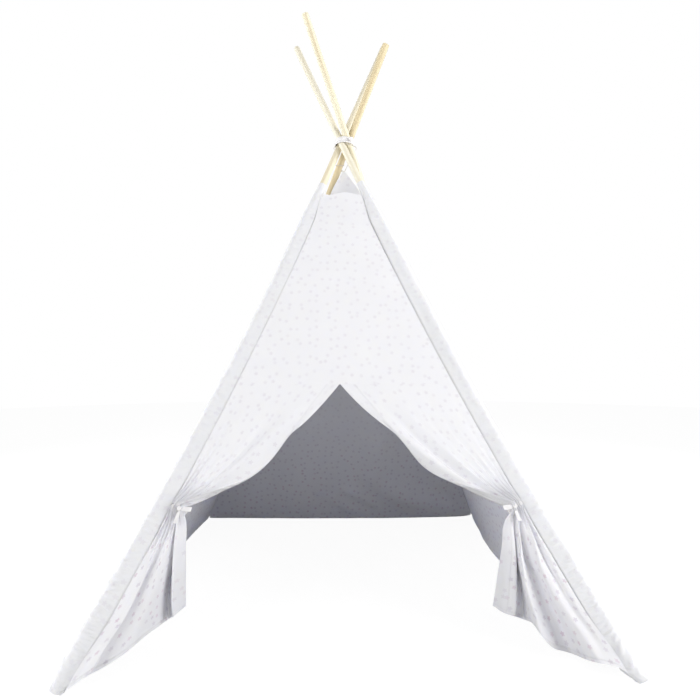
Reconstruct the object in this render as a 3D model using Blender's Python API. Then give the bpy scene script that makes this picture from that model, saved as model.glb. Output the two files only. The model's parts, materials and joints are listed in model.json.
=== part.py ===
"""A kids' teepee, in metres with +Z up and the door facing -Y.

Four wooden poles cross near their tops, where a cloth band ties them. Each pole runs in a cloth
sleeve that ends in a closed sock under its foot. Three plain walls and a front panel hang between
the sleeves, and the two halves of the door are drawn aside and tied back. The origin is on the
floor, under the crossing of the poles.
"""

import math

import bmesh
import bpy
from mathutils import Matrix, Vector

UP = Vector((0, 0, 1))

# Frame of four poles
base_side = 1.200
crossing_height = 1.4255
pole_diameter = 0.022
crossing_gap = 0.0009
lower_section_length = 1.020
section_gap = 0.0004
pole_end_chamfer = 0.0015
pole_bow = {"front_left": 0.0284, "front_right": 0.0284, "back_right": 0, "back_left": 0}
reach_above_crossing = {
    "front_left": 0.521,
    "front_right": 0.476,
    "back_right": 0.391,
    "back_left": 0.326,
}
corner_degrees = {"front_left": 225, "front_right": 315, "back_right": 45, "back_left": 135}
round_side_count = 12

# Ferrules that join the pole sections
ferrule_length = 0.090
ferrule_wall = 0.0009
ferrule_clearance = 0.0004

# Cover cloth, its sleeves and its walls
cloth_thickness = 0.0016
sleeve_top_drop = 0.186
sleeve_diameter = 0.040
sleeve_mouth_clearance = 0.0007
sleeve_taper_length = 0.220
sleeve_ring_spacing = 0.130
sock_cut_lift = 0.016
sole_thickness = 0.002
sole_clearance = 0.0005
wall_top_drop = 0.232
wall_tip_drop = 0.094
wall_tip_shift = 0.0105
wall_tip_width = 0.010
wall_hem_lift = 0.012
wall_sag = 0.014
wall_column_count = 8
wall_row_count = 10
wall_tip_row_count = 2
front_row_count = 8
seam_gap = 0.0008
seam_degrees = 25

# Door: the curtains start at the level of the door's peak and are gathered at the tie-backs
door_peak_height = 0.623
door_peak_shift = -0.015
door_split_gap = 0.003
curtain_seam_gap = 0.0006
tie_back_height = 0.345
bundle_width = 0.050
bundle_depth = 0.012
bundle_run = 0.020
curtain_edge_sag = 0.046
curtain_hem = {
    "left": {"corner_across": 0.382, "corner_depth": 0.468, "corner_height": 0.104},
    "right": {"corner_across": 0.345, "corner_depth": 0.455, "corner_height": 0.092},
}
swag_fold_depth = 0.010
fall_fold_depth = 0.024
swag_fold_count = 3
fall_fold_count = 3
waist_share = 0.25
seam_rejoin_share = 0.17
curtain_column_count = 16
swag_row_count = 8
fall_row_count = 9

# Tie-backs: a ribbon loop round each gathered curtain, its knot and its two ends
ribbon_width = 0.012
ribbon_thickness = 0.0012
ribbon_clearance = 0.0006
loop_seam_gap = 0.0018
loop_slack = 0.0024
loop_side_count = 16
tie_knot_width = 0.016
tie_knot_depth = 0.010
tie_knot_shift = 0.008
tie_end_length = 0.034
tie_end_spread_degrees = 12
tie_end_column_count = 4

# Lashing at the crossing
band_height = 0.022
band_thickness = 0.0024
band_clearance = 0.0005
band_knot_width = 0.030
band_knot_height = 0.024
band_knot_depth = 0.014
band_knot_degrees = -58
band_side_count = 24
touch_gap = 0.0003

# Thin cords: the tie of the back wall's tip, its wrap on a pole, and the two ends of the lashing
cord_diameter = 0.0022
cord_side_count = 8
cord_step = 0.005
wrap_drop = 0.058
wrap_length = 0.030
wrap_turns = 1.4
wrap_start_degrees = 100
wrap_side_count = 16
tip_tie_rise = 0.006
tip_tie_drop = 0.056
right_end_degrees = -80
right_end_run = [
    (0, 0, -0.0025),
    (0.0060, -0.0010, -0.0060),
    (0.0220, -0.0030, -0.0120),
    (0.0330, -0.0040, -0.0185),
    (0.0320, -0.0050, -0.0280),
]
left_end_degrees = 199
left_end_run = [
    (0, 0, -0.0030),
    (-0.0050, -0.0020, -0.0100),
    (-0.0045, -0.0030, -0.0160),
]

# What follows from the sizes above
pole_radius = pole_diameter / 2
half_diagonal = base_side / math.sqrt(2)
lean = math.atan(half_diagonal / crossing_height)
pole_offset = (pole_diameter + crossing_gap) / 2 * math.sqrt(2 + math.tan(lean) ** 2)
pole_turn = math.asin(pole_offset / half_diagonal)
foot_height = pole_radius * math.sin(lean) + sole_thickness + sole_clearance
sleeve_radius = sleeve_diameter / 2
sleeve_mouth_radius = pole_radius + sleeve_mouth_clearance + cloth_thickness
band_shift = band_height / 2 * math.tan(lean)
band_inner_radius = band_clearance + max(
    math.hypot(
        band_shift + pole_radius / math.cos(lean) * math.cos(math.radians(angle)),
        pole_offset + pole_radius * math.sin(math.radians(angle)),
    )
    for angle in range(91)
)
band_outer_radius = band_inner_radius + band_thickness
loop_depth = bundle_depth + cloth_thickness + loop_slack


class Pole:
    """The centre line of one pole: drop is the distance below the crossing along the pole."""

    def __init__(self, corner):
        azimuth = math.radians(corner_degrees[corner]) + pole_turn
        self.out = Vector((math.cos(azimuth), math.sin(azimuth), 0))
        self.side = Vector((-math.sin(azimuth), math.cos(azimuth), 0))
        self.crossing = UP * crossing_height - self.side * pole_offset
        foot_out = math.sqrt(half_diagonal**2 - pole_offset**2)
        foot = self.out * foot_out - self.side * pole_offset + UP * foot_height
        self.span = (foot - self.crossing).length
        self.down = (foot - self.crossing).normalized()
        self.inward = (self.down * self.out.dot(self.down) - self.out).normalized()
        self.bow = pole_bow[corner]
        self.top = -reach_above_crossing[corner]

    def tangent(self, drop):
        slope = self.bow * math.pi / self.span * math.cos(math.pi * max(drop, 0) / self.span)
        return (self.down + self.inward * slope).normalized()

    def point(self, drop):
        if drop < 0:
            return self.crossing + self.tangent(0) * drop
        bulge = self.bow * math.sin(math.pi * drop / self.span)
        return self.crossing + self.down * drop + self.inward * bulge

    def drop_at(self, height):
        """The drop at which the centre line is at this height, found by halving."""
        low, high = self.top, self.span
        for _ in range(40):
            middle = (low + high) / 2
            if self.point(middle).z > height:
                low = middle
            else:
                high = middle
        return (low + high) / 2


poles = {corner: Pole(corner) for corner in corner_degrees}


def material(name, colour, roughness, metallic=0.0):
    made = bpy.data.materials.new(name)
    made.use_nodes = True
    shader = made.node_tree.nodes["Principled BSDF"]
    shader.inputs["Base Color"].default_value = (*colour, 1)
    shader.inputs["Roughness"].default_value = roughness
    shader.inputs["Metallic"].default_value = metallic
    made.diffuse_color = (*colour, 1)
    return made


def add_object(name, bm, finish, smooth_degrees=40):
    bmesh.ops.recalc_face_normals(bm, faces=bm.faces)
    mesh = bpy.data.meshes.new(name)
    bm.to_mesh(mesh)
    bm.free()
    mesh.materials.append(finish)
    mesh.shade_smooth()
    mesh.set_sharp_from_angle(angle=math.radians(smooth_degrees))
    made = bpy.data.objects.new(name, mesh)
    bpy.context.scene.collection.objects.link(made)
    return made


def ring(bm, centre, axis, start, radius, sides=round_side_count):
    """A circle of edges round an axis, whose first corner lies along start."""
    start = (start - axis * start.dot(axis)).normalized()
    turn = Matrix((start, axis.cross(start), axis)).transposed().to_4x4()
    made = bmesh.ops.create_circle(
        bm, segments=sides, radius=radius, matrix=Matrix.Translation(centre) @ turn
    )
    return made["verts"]


def bridge(bm, rings, closed=False):
    """Joins each ring to the next, and caps the two ends or joins the last ring to the first."""
    following = rings[1:] + rings[:1] if closed else rings[1:]
    for near, far in zip(rings, following):
        for i in range(len(near)):
            bm.faces.new((near[i - 1], near[i], far[i], far[i - 1]))
    if not closed:
        bm.faces.new(rings[0])
        bm.faces.new(rings[-1])


def spaced(start, end, step):
    count = max(1, round(abs(end - start) / step))
    return [start + (end - start) * i / count for i in range(count + 1)]


def pole_section(name, pole, top, bottom, finish):
    """A round length of pole with a small chamfer at both ends."""
    bm = bmesh.new()
    drops = spaced(top + pole_end_chamfer, bottom - pole_end_chamfer, sleeve_ring_spacing)
    steps = [(top, pole_radius - pole_end_chamfer)]
    steps += [(drop, pole_radius) for drop in drops]
    steps += [(bottom, pole_radius - pole_end_chamfer)]
    rings = [ring(bm, pole.point(d), pole.tangent(d), pole.side, r) for d, r in steps]
    bridge(bm, rings)
    return add_object(name, bm, finish)


def ferrule(name, pole, middle, finish):
    """A thin tube over the ends of the two pole sections."""
    inner = pole_radius + ferrule_clearance
    top, bottom = middle - ferrule_length / 2, middle + ferrule_length / 2
    bm = bmesh.new()
    outer = inner + ferrule_wall
    steps = [(top, inner), (bottom, inner), (bottom, outer), (top, outer)]
    rings = [ring(bm, pole.point(d), pole.tangent(d), pole.side, r) for d, r in steps]
    bridge(bm, rings, closed=True)
    return add_object(name, bm, finish)


def sleeve_radius_at(drop):
    """The sleeve is snug at its mouth and widens to a loose tube."""
    share = min(max((drop - sleeve_top_drop) / sleeve_taper_length, 0), 1)
    return sleeve_mouth_radius + (sleeve_radius - sleeve_mouth_radius) * math.sin(share * math.pi / 2)


def cut_level(loop, axis, height):
    """Slides the corners of a ring along the tube until they all lie at one height."""
    for corner in loop:
        corner.co += axis * ((height - corner.co.z) / axis.z)


def sleeve(name, pole, finish):
    """A loose cloth tube round the pole, closed by a flat sole on the floor."""
    bm = bmesh.new()
    last = pole.drop_at(sock_cut_lift)
    drops = spaced(sleeve_top_drop, last, sleeve_ring_spacing)
    inner = [
        ring(bm, pole.point(d), pole.tangent(d), pole.side, sleeve_radius_at(d) - cloth_thickness)
        for d in drops
    ]
    outer = [ring(bm, pole.point(d), pole.tangent(d), pole.side, sleeve_radius_at(d)) for d in drops]
    axis = pole.tangent(last)
    floor_in = ring(bm, pole.point(last), axis, pole.side, sleeve_radius - cloth_thickness)
    floor_out = ring(bm, pole.point(last), axis, pole.side, sleeve_radius)
    cut_level(floor_in, axis, sole_thickness)
    cut_level(floor_out, axis, 0)
    bridge(bm, [floor_in] + inner[::-1] + outer + [floor_out])
    return add_object(name, bm, finish)


def cloth(name, columns, rows, place, finish, smooth_degrees=60):
    """A sheet whose corner (u, v) of an even grid lies at place(u, v), with its thickness."""
    bm = bmesh.new()
    bmesh.ops.create_grid(bm, x_segments=columns, y_segments=rows, size=0.5)
    for corner in bm.verts:
        corner.co = place(corner.co.x + 0.5, corner.co.y + 0.5)
    made = add_object(name, bm, finish, smooth_degrees)
    thick = made.modifiers.new("Thickness", "SOLIDIFY")
    thick.thickness = cloth_thickness
    thick.offset = 0
    return made


class Wall:
    """The cloth plane between two neighbouring poles, named as seen from outside."""

    def __init__(self, left, right):
        self.left, self.right = poles[left], poles[right]

    def seam(self, pole, other, drop):
        """Where the cloth meets the outside of a pole's sleeve."""
        axis = pole.tangent(drop)
        across = other.point(drop) - pole.point(drop)
        across = (across - axis * across.dot(axis)).normalized()
        outward = axis.cross(across)
        if outward.dot(pole.out) < 0:
            outward = -outward
        angle = math.radians(seam_degrees)
        distance = sleeve_radius_at(drop) + seam_gap
        return pole.point(drop) + (across * math.cos(angle) + outward * math.sin(angle)) * distance

    def edge(self, left_side, drop):
        if left_side:
            return self.seam(self.left, self.right, drop)
        return self.seam(self.right, self.left, drop)

    def normal(self, drop):
        across = self.edge(False, drop) - self.edge(True, drop)
        along = (self.left.tangent(drop) + self.right.tangent(drop)).normalized()
        return along.cross(across).normalized()

    def place(self, u, drop, sag=0):
        point = self.edge(True, drop).lerp(self.edge(False, drop), u)
        return point - self.normal(drop) * sag * math.sin(math.pi * u)


def plain_wall(name, wall, finish, tip=False):
    """A wall from its hem to its top edge, or to a tip that is tied to the lashing."""
    hem_drop = wall.left.drop_at(wall_hem_lift)
    rows = wall_row_count + (wall_tip_row_count if tip else 0)

    def place(u, v):
        row = round(v * rows)
        if row <= wall_row_count:
            share = row / wall_row_count
            drop = hem_drop + (wall_top_drop - hem_drop) * share
            return wall.place(u, drop, wall_sag * math.sin(math.pi * share))
        share = (row - wall_row_count) / wall_tip_row_count
        base = wall.place(u, wall_top_drop)
        middle = wall.place(0.5, wall_tip_drop)
        across = (wall.edge(False, wall_top_drop) - wall.edge(True, wall_top_drop)).normalized()
        corner = middle + across * ((u - 0.5) * wall_tip_width + wall_tip_shift)
        return base.lerp(corner, share)

    return cloth(name, wall_column_count, rows, place, finish)


def front_panel(name, wall, finish):
    """The front above the door, from the door's peak to the top edge."""
    low = wall.left.drop_at(door_peak_height) - curtain_seam_gap / 2

    def place(u, v):
        return wall.place(u, low + (wall_top_drop - low) * v)

    return cloth(name, wall_column_count, front_row_count, place, finish)


def bezier(start, middle, end, share):
    return start.lerp(middle, share).lerp(middle.lerp(end, share), share)


class Curtain:
    """One half of the door, drawn aside to its tie-back and hanging below it."""

    def __init__(self, side, wall):
        self.wall = wall
        self.is_left = side == "left"
        self.pole = wall.left if self.is_left else wall.right
        self.top_drop = self.pole.drop_at(door_peak_height) + curtain_seam_gap / 2
        self.tie_drop = self.pole.drop_at(tie_back_height)
        self.hem_drop = self.pole.drop_at(wall_hem_lift)
        hand = -1 if self.is_left else 1
        hem = curtain_hem[side]
        self.corner = Vector(
            (hand * hem["corner_across"], -hem["corner_depth"], hem["corner_height"])
        )
        self.peak = wall.place(0.5, self.top_drop) + Vector(
            (door_peak_shift + hand * door_split_gap / 2, 0, 0)
        )
        self.down = self.pole.tangent(self.tie_drop)
        other = wall.right if self.is_left else wall.left
        seam = wall.seam(self.pole, other, self.tie_drop)
        self.across = (seam - self.pole.point(self.tie_drop)).normalized()
        self.out = self.across.cross(self.down)
        if self.out.y > 0:
            self.out = -self.out
        start = sleeve_radius_at(self.tie_drop) + ribbon_thickness + loop_seam_gap
        self.middle = self.pole.point(self.tie_drop) + self.across * (start + bundle_width / 2)

    def seam(self, drop):
        return self.wall.edge(self.is_left, drop)

    def bundle(self, u, run):
        """A corner of the gathered cloth inside the tie-back, run metres below its middle."""
        pleat = math.sin(2 * math.pi * (swag_fold_count + 1) * u) * (1 - (2 * u - 1) ** 2)
        return (
            self.middle
            + self.across * (u - 0.5) * bundle_width
            + self.out * pleat * bundle_depth / 2
            + self.down * run
        )

    def swag(self, u, share):
        """Above the tie-back: share runs from the level of the door's peak to the gather."""
        start = self.seam(self.top_drop).lerp(self.peak, u)
        end = self.bundle(u, -bundle_run / 2)
        middle = start.lerp(end, 0.5) - UP * 2 * curtain_edge_sag * u**2
        point = bezier(start, middle, end, share)
        drop = self.top_drop + (self.tie_drop - self.top_drop) * share
        pull = self.seam(drop) - self.seam(self.top_drop).lerp(self.seam(self.tie_drop), share)
        fold = math.sin(2 * math.pi * swag_fold_count * u) * swag_fold_depth * math.sin(math.pi * share)
        return point + pull * (1 - u) + self.out * fold * share * u

    def fall(self, u, share):
        """Below the tie-back: share runs from the gather to the hem."""
        start = self.bundle(u, bundle_run / 2)
        seam_end = self.seam(self.hem_drop)
        end = seam_end.lerp(self.corner, u)
        middle = start.lerp(end, 0.5) + (self.middle - start) * waist_share
        point = bezier(start, middle, end, share)
        first_drop = self.tie_drop + bundle_run / 2
        drop = first_drop + (self.hem_drop - first_drop) * share
        straight = self.bundle(0, bundle_run / 2).lerp(seam_end, share)
        pull = (self.seam(drop) - straight) * min(1, share / seam_rejoin_share)
        fold = math.sin(2 * math.pi * fall_fold_count * u) * fall_fold_depth
        fold *= share * min(1, u / seam_rejoin_share)
        return point + pull * (1 - u) ** 4 + self.out * fold

    def place(self, u, v):
        if not self.is_left:
            u = 1 - u
        row = round(v * (swag_row_count + fall_row_count + 1))
        if row <= swag_row_count:
            return self.swag(u, row / swag_row_count)
        return self.fall(u, (row - swag_row_count - 1) / fall_row_count)

    def make(self, name, finish):
        return cloth(name, curtain_column_count, swag_row_count + fall_row_count + 1, self.place, finish)


def stadium(across, deep, sides):
    """The corners of a flat-sided loop: half rounds of the depth on a straight run."""
    straight = across / 2 - deep / 2
    corners = []
    for i in range(sides):
        angle = 2 * math.pi * (i + 0.5) / sides
        shift = straight if math.cos(angle) > 0 else -straight
        corners.append((shift + deep / 2 * math.cos(angle), deep / 2 * math.sin(angle)))
    return corners


def ribbon_loop(name, curtain, finish):
    """The ribbon round the gathered curtain."""
    across = bundle_width + 2 * ribbon_clearance
    bm = bmesh.new()
    rings = []
    for grow, run in ((0, -0.5), (0, 0.5), (ribbon_thickness, 0.5), (ribbon_thickness, -0.5)):
        centre = curtain.middle + curtain.down * run * ribbon_width
        corners = stadium(across + 2 * grow, loop_depth + 2 * grow, loop_side_count)
        rings.append(
            [bm.verts.new(centre + curtain.across * x + curtain.out * y) for x, y in corners]
        )
    bridge(bm, rings, closed=True)
    return add_object(name, bm, finish)


def lump(name, centre, axes, sizes, finish):
    """A rounded knot, given by its middle, its three axes and its full sizes."""
    bm = bmesh.new()
    turn = Matrix(axes).transposed().to_4x4()
    size = Matrix.Diagonal((*(s / 2 for s in sizes), 1))
    bmesh.ops.create_icosphere(
        bm, subdivisions=2, radius=1, matrix=Matrix.Translation(centre) @ turn @ size
    )
    return add_object(name, bm, finish)


def ribbon_ends(name, root, out, first, second, finish):
    """The two free ends of a tied ribbon, as one strip that turns under the knot."""
    across_first, across_second = out.cross(-first), out.cross(second)
    mitre = (across_first + across_second) / (1 + across_first.dot(across_second))

    def place(u, v):
        run = 2 * u - 1
        along = first if run < 0 else second
        across = across_first if run < 0 else across_second
        if abs(run) * tie_end_column_count < 1:
            across = mitre
        return root + along * abs(run) * tie_end_length + across * (v - 0.5) * ribbon_width

    strip = cloth(name, 2 * tie_end_column_count, 1, place, finish)
    strip.modifiers["Thickness"].thickness = ribbon_thickness


def tie_back(side, curtain, finish):
    """The ribbon loop, its knot on the outer face and its two short ends."""
    ribbon_loop(side + "_tie_back_loop", curtain, finish)
    face = curtain.middle + curtain.across * tie_knot_shift
    face += curtain.out * (loop_depth / 2 + ribbon_thickness + touch_gap)
    root = face + curtain.out * ribbon_thickness / 2
    spread = math.radians(tie_end_spread_degrees)
    first = (curtain.down * math.cos(spread) + curtain.across * math.sin(spread)).normalized()
    second = (curtain.across * math.cos(spread) - curtain.down * math.sin(spread)).normalized()
    if curtain.is_left:
        first, second = second, first
    ribbon_ends(side + "_tie_back_ends", root, curtain.out, first, second, finish)
    middle = face + curtain.out * (ribbon_thickness + touch_gap + tie_knot_depth / 2)
    axes = (curtain.across, curtain.down, curtain.across.cross(curtain.down))
    sizes = (tie_knot_width, tie_knot_width, tie_knot_depth)
    lump(side + "_tie_back_knot", middle, axes, sizes, finish)


def tie_band(name, finish):
    """The cloth band round the four poles at their crossing."""
    low, high = crossing_height - band_height / 2, crossing_height + band_height / 2
    bm = bmesh.new()
    steps = [
        (low, band_inner_radius),
        (high, band_inner_radius),
        (high, band_outer_radius),
        (low, band_outer_radius),
    ]
    rings = [ring(bm, UP * z, UP, Vector((1, 0, 0)), r, band_side_count) for z, r in steps]
    bridge(bm, rings, closed=True)
    return add_object(name, bm, finish)


def band_knot(name, finish):
    """The knot of the band, on its outer face beside the door's side."""
    angle = math.radians(band_knot_degrees)
    out = Vector((math.cos(angle), math.sin(angle), 0))
    middle = out * (band_outer_radius + touch_gap + band_knot_depth / 2) + UP * crossing_height
    sizes = (band_knot_depth, band_knot_width, band_knot_height)
    lump(name, middle, (out, UP.cross(out), UP), sizes, finish)


def between(a, b, c, d, share):
    """A point on the smooth curve from b to c, whose neighbours are a and d."""
    bend = (c - a) * share
    bend += (2 * a - 5 * b + 4 * c - d) * share**2
    bend += (3 * b - a - 3 * c + d) * share**3
    return b + bend / 2


def smooth_route(route):
    """Points about a step apart on a smooth curve through the route."""
    ends = [2 * route[0] - route[1]] + route + [2 * route[-1] - route[-2]]
    found = []
    for a, b, c, d in zip(ends, ends[1:], ends[2:], ends[3:]):
        count = max(1, round((c - b).length / cord_step))
        found += [between(a, b, c, d, i / count) for i in range(count)]
    return found + [route[-1]]


def cord(name, points, start, finish):
    """A thin round cord through the points; start lies across all of it."""
    ends = [points[0]] + points + [points[-1]]
    bm = bmesh.new()
    rings = []
    for before, point, after in zip(ends, points, ends[2:]):
        axis = (after - before).normalized()
        rings.append(ring(bm, point, axis, start, cord_diameter / 2, cord_side_count))
    bridge(bm, rings)
    return add_object(name, bm, finish)


def cord_wrap(name, pole, finish):
    """The turns of cord on one pole, from which the tip's tie hangs."""
    reach = pole_radius + touch_gap + cord_diameter / 2
    points = []
    count = round(wrap_turns * wrap_side_count)
    for i in range(count + 1):
        drop = wrap_drop + wrap_length * i / count
        angle = math.radians(wrap_start_degrees) + 2 * math.pi * wrap_turns * i / count
        axis = pole.tangent(drop)
        across = axis.cross(pole.side)
        out = pole.side * math.cos(angle) + across * math.sin(angle)
        points.append(pole.point(drop) + out * reach)
    cord(name, points, pole.tangent(wrap_drop), finish)


def tip_tie(name, wall, finish):
    """The cord from one back pole down to the wall's tip and up to the other back pole."""
    across = (wall.edge(False, wall_top_drop) - wall.edge(True, wall_top_drop)).normalized()
    outward = wall.normal(wall_tip_drop)
    tip = wall.place(0.5, wall_tip_drop) + across * wall_tip_shift
    rise = across.cross(outward)
    if rise.z < 0:
        rise = -rise
    low = tip + rise * (touch_gap + cord_diameter / 2)
    reach = pole_radius + touch_gap + cord_diameter / 2
    ends = []
    wrap_end = wrap_drop + wrap_length
    for pole, drop, grow in ((wall.left, tip_tie_drop, 0), (wall.right, wrap_end, cord_diameter)):
        axis = pole.tangent(drop)
        toward = low - pole.point(drop)
        toward = (toward - axis * toward.dot(axis)).normalized()
        ends.append(pole.point(drop) + toward * (reach + grow + touch_gap))
    route = [ends[0], low + rise * tip_tie_rise - across * tip_tie_rise / 2, low]
    route += [low + rise * tip_tie_rise + across * tip_tie_rise / 2, ends[1]]
    cord(name, smooth_route(route), outward, finish)


def lashing_end(name, degrees, run, finish):
    """A short free end of the lashing that comes out under the band."""
    angle = math.radians(degrees)
    out = Vector((math.cos(angle), math.sin(angle), 0))
    top = crossing_height - band_height / 2 - touch_gap
    start = out * (band_inner_radius + band_outer_radius) / 2 + UP * top
    route = [start] + [start + Vector(step) for step in run]
    cord(name, smooth_route(route), out, finish)


def main():
    for old in list(bpy.data.objects):
        bpy.data.objects.remove(old)

    wood = material("pine_pole", (0.82, 0.68, 0.42), 0.55)
    steel = material("ferrule_steel", (0.62, 0.63, 0.65), 0.35, 1.0)
    cotton = material("white_cotton", (0.88, 0.88, 0.90), 0.9)
    tape = material("cotton_tape", (0.90, 0.89, 0.87), 0.85)

    for corner, pole in poles.items():
        joint = pole.span - lower_section_length
        pole_section(corner + "_pole_upper", pole, pole.top, joint - section_gap / 2, wood)
        pole_section(corner + "_pole_lower", pole, joint + section_gap / 2, pole.span, wood)
        ferrule(corner + "_ferrule", pole, joint, steel)
        sleeve(corner + "_sleeve", pole, cotton)

    front = Wall("front_left", "front_right")
    plain_wall("right_wall", Wall("front_right", "back_right"), cotton)
    plain_wall("back_wall", Wall("back_right", "back_left"), cotton, tip=True)
    plain_wall("left_wall", Wall("back_left", "front_left"), cotton)
    front_panel("front_panel", front, cotton)

    for side in ("left", "right"):
        curtain = Curtain(side, front)
        curtain.make(side + "_door_curtain", cotton)
        tie_back(side, curtain, tape)

    tie_band("tie_band", tape)
    band_knot("tie_band_knot", tape)
    cord_wrap("tip_cord_wrap", poles["back_left"], tape)
    tip_tie("tip_cord", Wall("back_right", "back_left"), tape)
    lashing_end("lashing_cord_right_end", right_end_degrees, right_end_run, tape)
    lashing_end("lashing_cord_left_end", left_end_degrees, left_end_run, tape)


main()
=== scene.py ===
"""The kids' teepee dressed for a picture: turned poles, wrinkled sleeves, draped cloth and ties."""

import json
from math import acos, atan2, cos, exp, hypot, pi, radians, sin, sqrt, tau

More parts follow.
